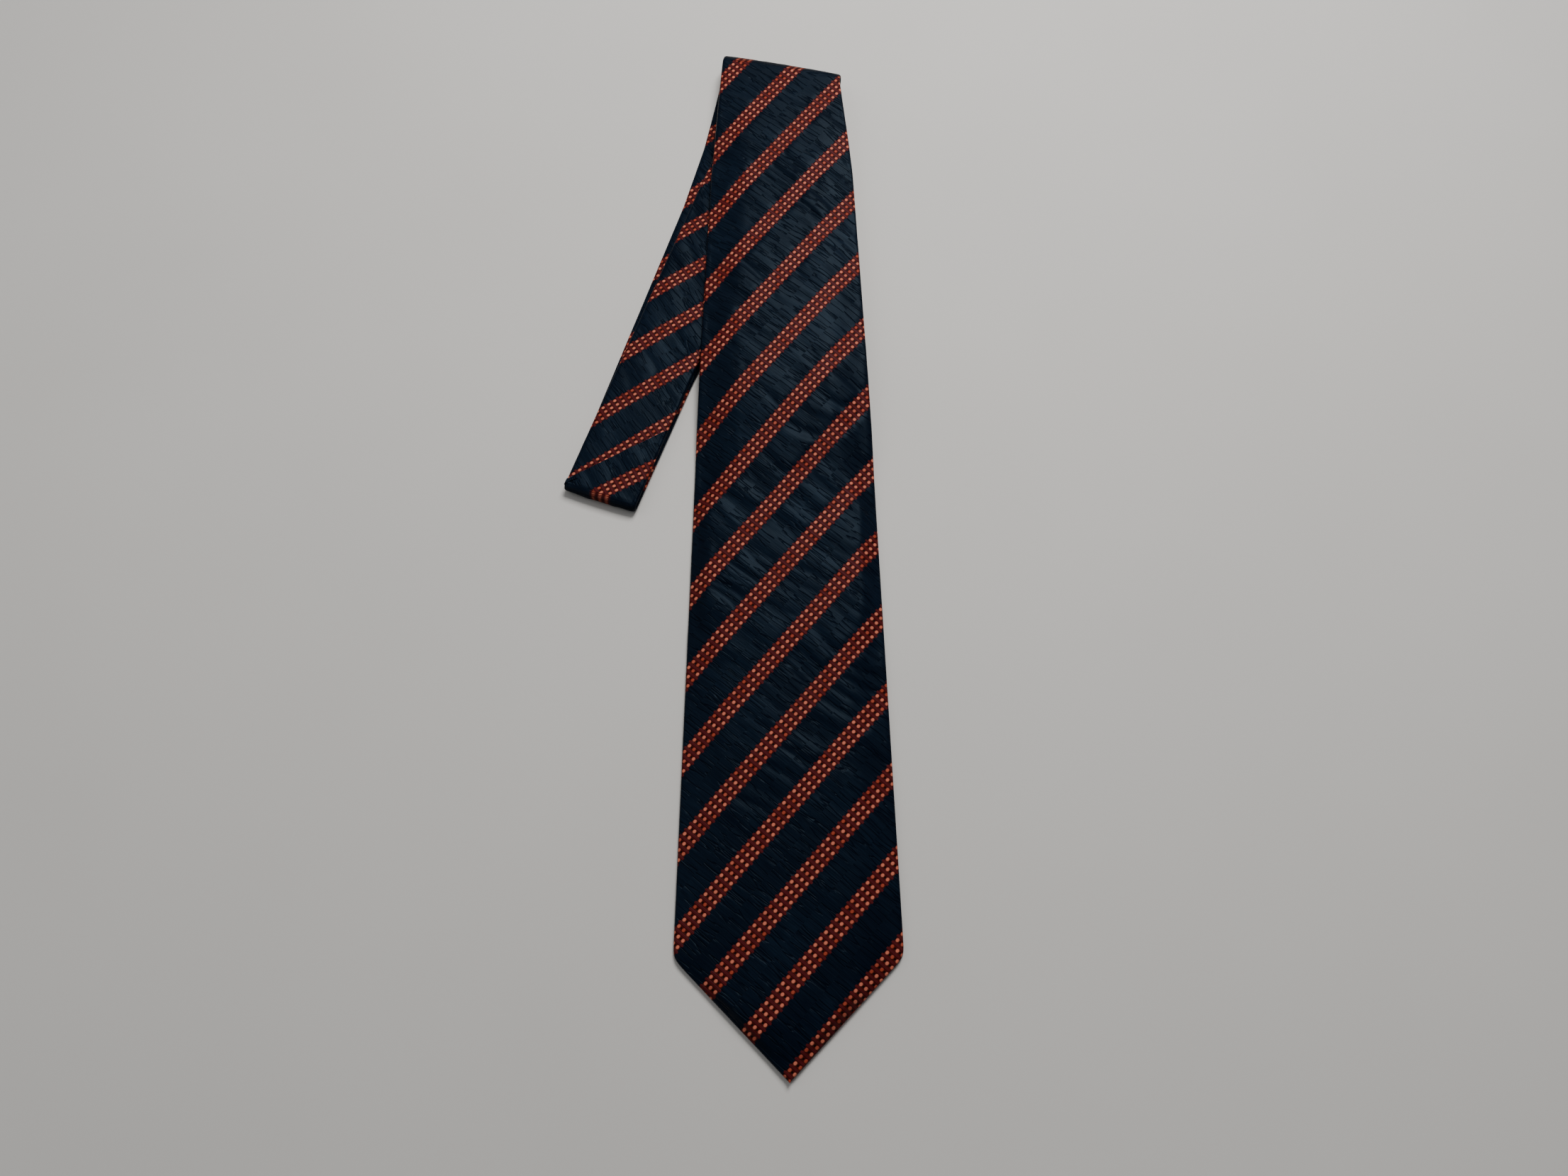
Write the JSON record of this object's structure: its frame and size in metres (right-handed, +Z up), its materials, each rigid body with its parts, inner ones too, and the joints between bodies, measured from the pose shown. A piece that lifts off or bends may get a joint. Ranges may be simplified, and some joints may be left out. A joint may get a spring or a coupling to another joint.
{
  "type": "necktie",
  "caption": "Pointed necktie with slanted woven stripes, stored folded in half and turned under once, the narrow neck leg showing at the left.",
  "frame": {"origin": "bottom centre of the folded tie's box, on the surface that it lies on", "axes": "+Y from the blade's point to the top crease, +Z up off the surface, +X to the right with the blade face up"},
  "size_m": [0.1442, 0.4916, 0.0121],
  "materials": {
    "striped_silk": "woven silk, navy with slanted orange-red stripes",
    "wool_interlining": "brushed woven wool, undyed",
    "tipping_lining": "plain navy lining, slightly shiny",
    "sewing_thread": "navy sewing thread",
    "label_satin": "blank white satin ribbon"
  },
  "bodies": {
    "blade_half": {"front_shell": "striped_silk", "front_interlining": "wool_interlining", "front_tipping": "tipping_lining", "front_slip_stitch": "sewing_thread", "front_bar_tack": "sewing_thread", "care_label": "label_satin", "neck_shell_end": "striped_silk", "tail_shell": "striped_silk", "tail_seam_thread": "sewing_thread", "tail_interlining": "wool_interlining", "tail_tipping": "tipping_lining", "tail_slip_stitch": "sewing_thread", "tail_bar_tack": "sewing_thread", "keeper_loop": "striped_silk", "keeper_tacks": "sewing_thread", "front_shell_fold": "striped_silk", "front_interlining_fold": "wool_interlining", "neck_shell_fold": "striped_silk", "tail_interlining_fold": "wool_interlining"},
    "folded_half": {"front_shell_under": "striped_silk", "neck_shell": "striped_silk", "neck_seam_thread": "sewing_thread", "interlining_under": "wool_interlining", "neck_interlining": "wool_interlining", "under_slip_stitch": "sewing_thread", "neck_slip_stitch": "sewing_thread"}
  },
  "joints": [
    {"name": "top_crease", "type": "hinge", "parent": "blade_half", "child": "folded_half", "pos_m": [0.0271, 0.23321, 0.00605], "axis": [0.9759, -0.2181, 0], "range_deg": [0, 179.9], "deforming": ["front_shell_fold", "front_interlining_fold", "neck_shell_fold", "tail_interlining_fold"]}
  ]
}
